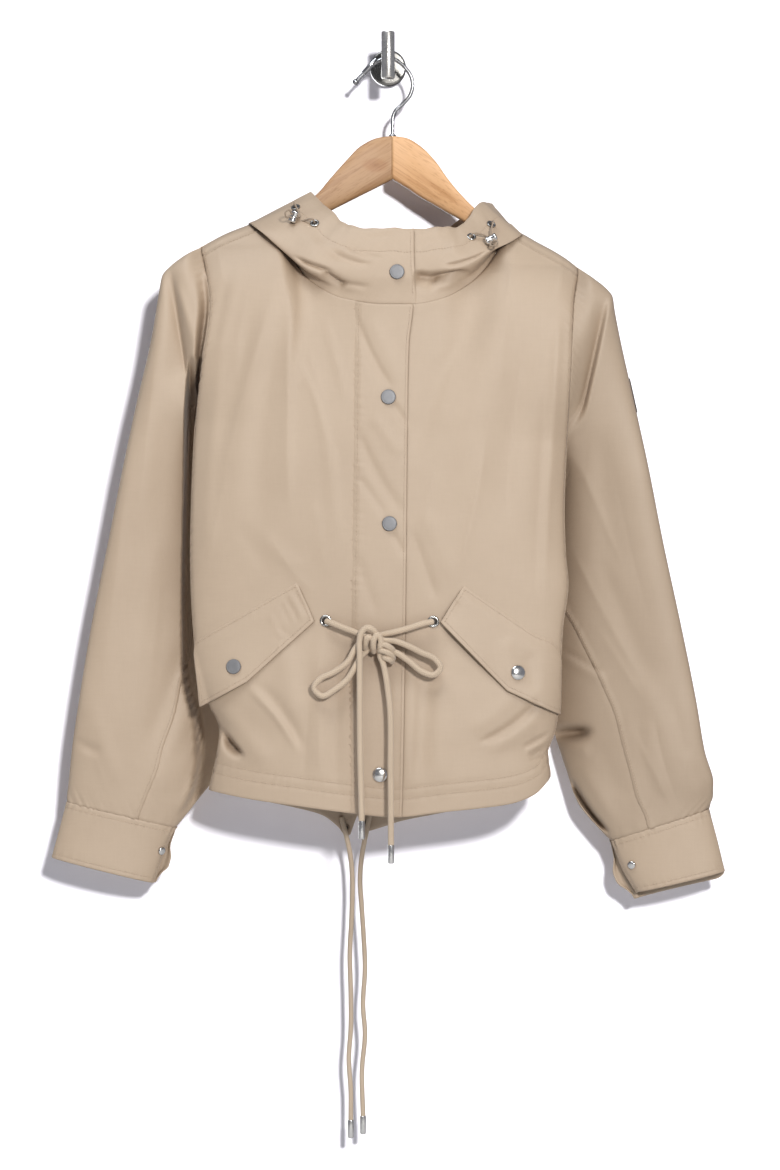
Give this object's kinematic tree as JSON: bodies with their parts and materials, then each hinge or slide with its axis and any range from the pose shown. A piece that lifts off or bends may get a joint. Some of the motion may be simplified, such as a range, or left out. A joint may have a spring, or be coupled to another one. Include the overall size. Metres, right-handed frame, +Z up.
{
  "type": "cropped jacket on a hanger and wall hook",
  "caption": "Beige cropped hooded jacket with snap placket, tied waist cord, slanted pocket flaps and hem cords, hung on a wooden hanger from a steel wall peg.",
  "frame": {"origin": "centre of the back face of the wall hook's round plate, on the wall", "axes": "+X to the viewer's right as in the picture, +Y into the wall, +Z up"},
  "size_m": [0.6827, 0.1365, 1.1243],
  "materials": {
    "shell_cloth": "matte light plain-weave synthetic cloth, beige",
    "cord": "braided flat and round cord, beige",
    "label": "bare dark woven patch",
    "metal": "nickel-plated snaps, eyelets, locks and cord ends",
    "hanger_wood": "pale sanded wood",
    "steel": "satin stainless steel"
  },
  "bodies": {
    "root": {"front_right": "shell_cloth", "front_left": "shell_cloth", "placket": "shell_cloth", "back": "shell_cloth", "sleeve_r_top": "shell_cloth", "sleeve_r_under": "shell_cloth", "sleeve_l_top": "shell_cloth", "sleeve_l_under": "shell_cloth", "cuff_r": "shell_cloth", "cuff_l": "shell_cloth", "hood_right": "shell_cloth", "hood_left": "shell_cloth", "flap_r": "shell_cloth", "flap_l": "shell_cloth", "sleeve_label": "label", "snap_neck": "metal", "snap_chest": "metal", "snap_waist": "metal", "snap_hem": "metal", "snap_flap_r": "metal", "snap_flap_l": "metal", "snap_cuff_r": "metal", "snap_cuff_l": "metal", "eyelet_waist_r": "metal", "eyelet_waist_l": "metal", "eyelet_hood_r1": "metal", "eyelet_hood_r2": "metal", "eyelet_hood_l1": "metal", "eyelet_hood_l2": "metal", "eyelet_hem_r": "metal", "eyelet_hem_l": "metal", "aglet_waist_r": "metal", "aglet_waist_l": "metal", "aglet_hem_r": "metal", "aglet_hem_l": "metal", "hood_lock_r": "metal", "hood_lock_l": "metal", "waist_knot": "cord", "waist_lead_r": "cord", "waist_lead_l": "cord", "waist_loop_r": "cord", "waist_loop_l": "cord", "waist_tail_r": "cord", "waist_tail_l": "cord", "hem_cord_r": "cord", "hem_cord_l": "cord", "hood_cord_r_upper": "cord", "hood_cord_r_lower": "cord", "hood_cord_l_upper": "cord", "hood_cord_l_lower": "cord", "hanger_arm_r": "hanger_wood", "hanger_arm_l": "hanger_wood", "hanger_hook": "steel", "wall_hook": "steel"}
  },
  "joints": []
}
